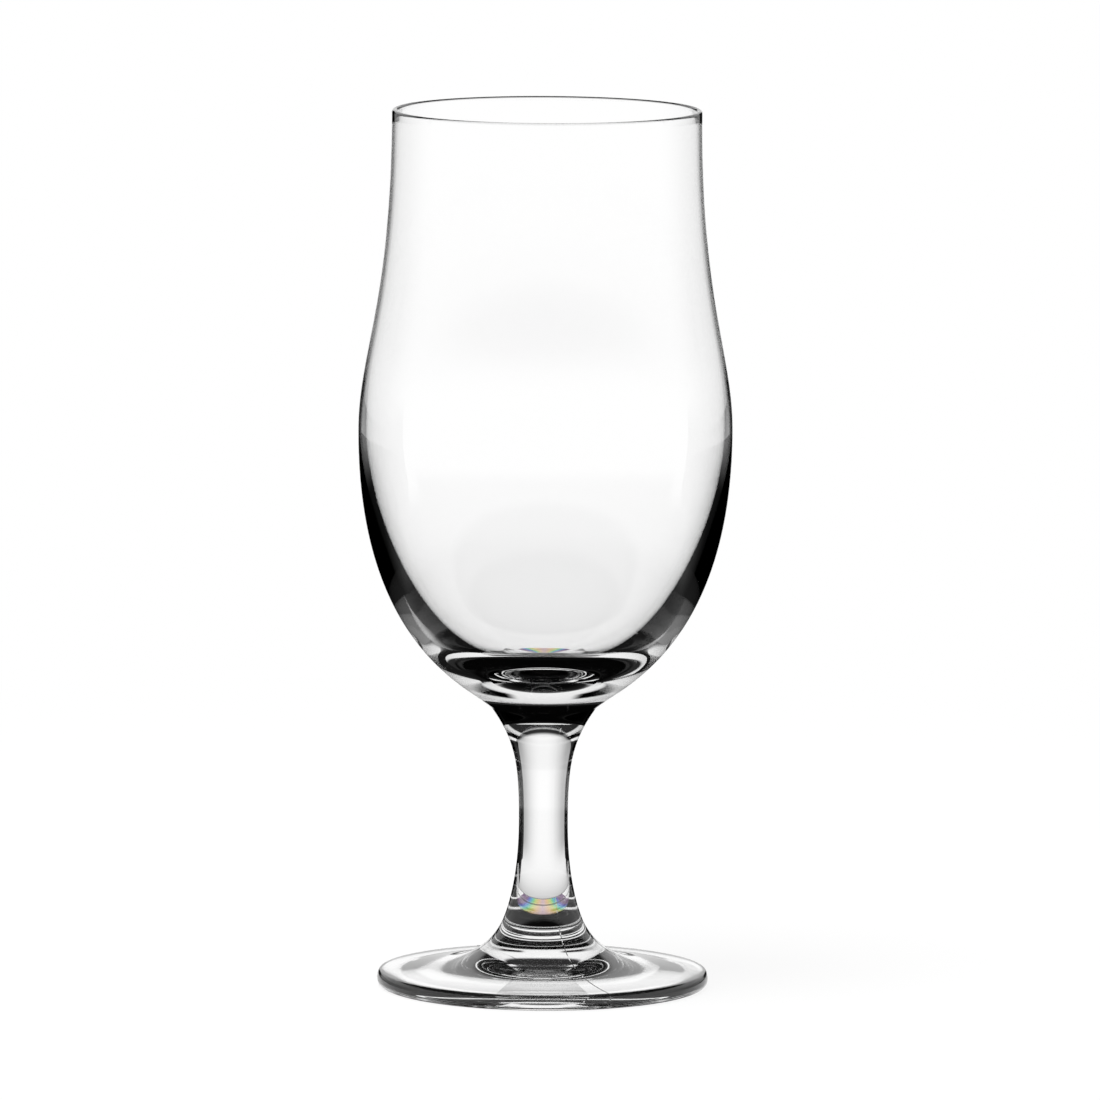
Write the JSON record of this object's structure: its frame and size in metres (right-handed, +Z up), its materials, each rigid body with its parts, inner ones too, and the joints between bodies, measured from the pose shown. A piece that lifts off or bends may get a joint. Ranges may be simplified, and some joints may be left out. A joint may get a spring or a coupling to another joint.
{
  "type": "stemmed tulip beer glass",
  "caption": "Clear stemmed tulip beer glass: a bowl with a narrow mouth and a full belly on a slender flared stem and a round disc foot.",
  "frame": {"origin": "on the axis of the glass, in the plane of the ring that the foot stands on", "axes": "+Z up along the axis of the glass, from the foot towards the mouth; X and Y are equal, since the glass is round"},
  "size_m": [0.075, 0.075, 0.177],
  "materials": {
    "clear_glass": "fire-polished clear soda-lime glass"
  },
  "bodies": {
    "root": {"bowl": "clear_glass", "stem": "clear_glass", "foot": "clear_glass"}
  },
  "joints": []
}
